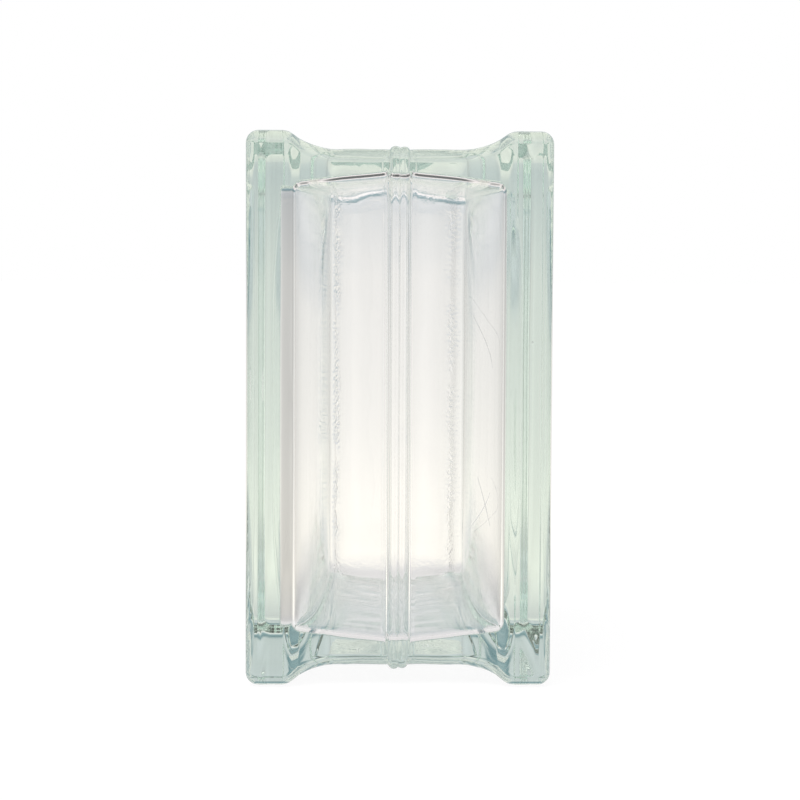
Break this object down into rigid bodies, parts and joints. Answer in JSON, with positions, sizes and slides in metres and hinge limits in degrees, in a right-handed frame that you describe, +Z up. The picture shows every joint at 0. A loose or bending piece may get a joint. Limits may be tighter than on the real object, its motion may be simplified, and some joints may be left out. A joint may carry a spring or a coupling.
{
  "type": "glass block",
  "caption": "Square hollow glass block of two pressed halves fused along a beaded seam, with flanged edges and a curved mortar channel all round, for laying in glazed walls.",
  "frame": {"origin": "centre of the base, on the ground under the middle of the block's thickness and length", "axes": "+X through the thickness from one glazed face to the other, +Y along the wall, +Z up"},
  "size_m": [0.08, 0.145, 0.145],
  "materials": {
    "pressed_glass": "clear pressed glass with a faint green tint, smooth and glossy, lightly rippled"
  },
  "bodies": {
    "root": {"glass_block": "pressed_glass"}
  },
  "joints": []
}
